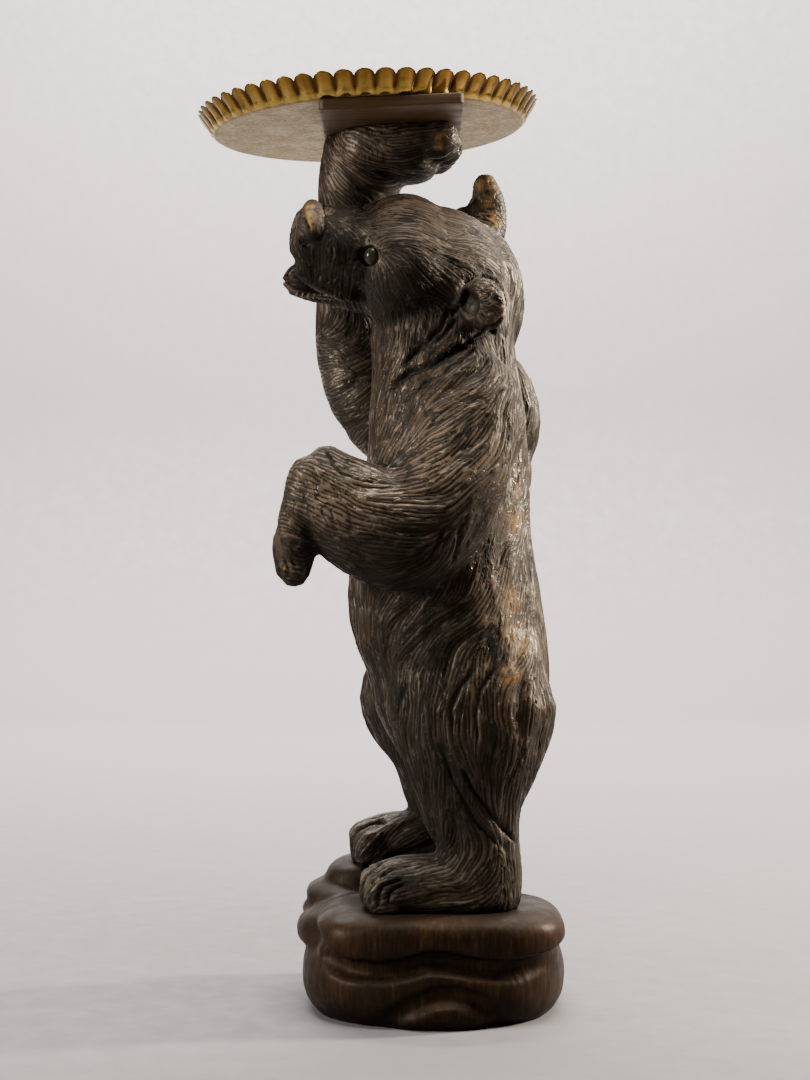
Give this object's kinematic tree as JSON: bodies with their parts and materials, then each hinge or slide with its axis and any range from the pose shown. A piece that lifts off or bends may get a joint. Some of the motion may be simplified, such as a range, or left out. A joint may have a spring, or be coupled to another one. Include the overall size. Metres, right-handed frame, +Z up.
{
  "type": "carved wooden bear",
  "caption": "Standing carved wooden bear on a rock base, one arm bent, the other raised under a board and a round brass tray with a scalloped rim.",
  "frame": {"origin": "middle of the rock base's flat underside, on the surface that the bear stands on", "axes": "+Z up, -X the way the bear faces, -Y towards the bear's left side"},
  "size_m": [0.3776, 0.3954, 0.9236],
  "materials": {
    "carved_fur": "dark stained wood, carved into fur strokes, waxed and worn",
    "smooth_rock": "dark stained wood, smooth, slight gloss",
    "board_wood": "brown stained board, matt",
    "aged_brass": "aged brass, browned with bright wear on the rim"
  },
  "bodies": {
    "root": {"bear": "carved_fur", "rock_base": "smooth_rock", "tray_board": "board_wood", "brass_tray": "aged_brass"}
  },
  "joints": []
}
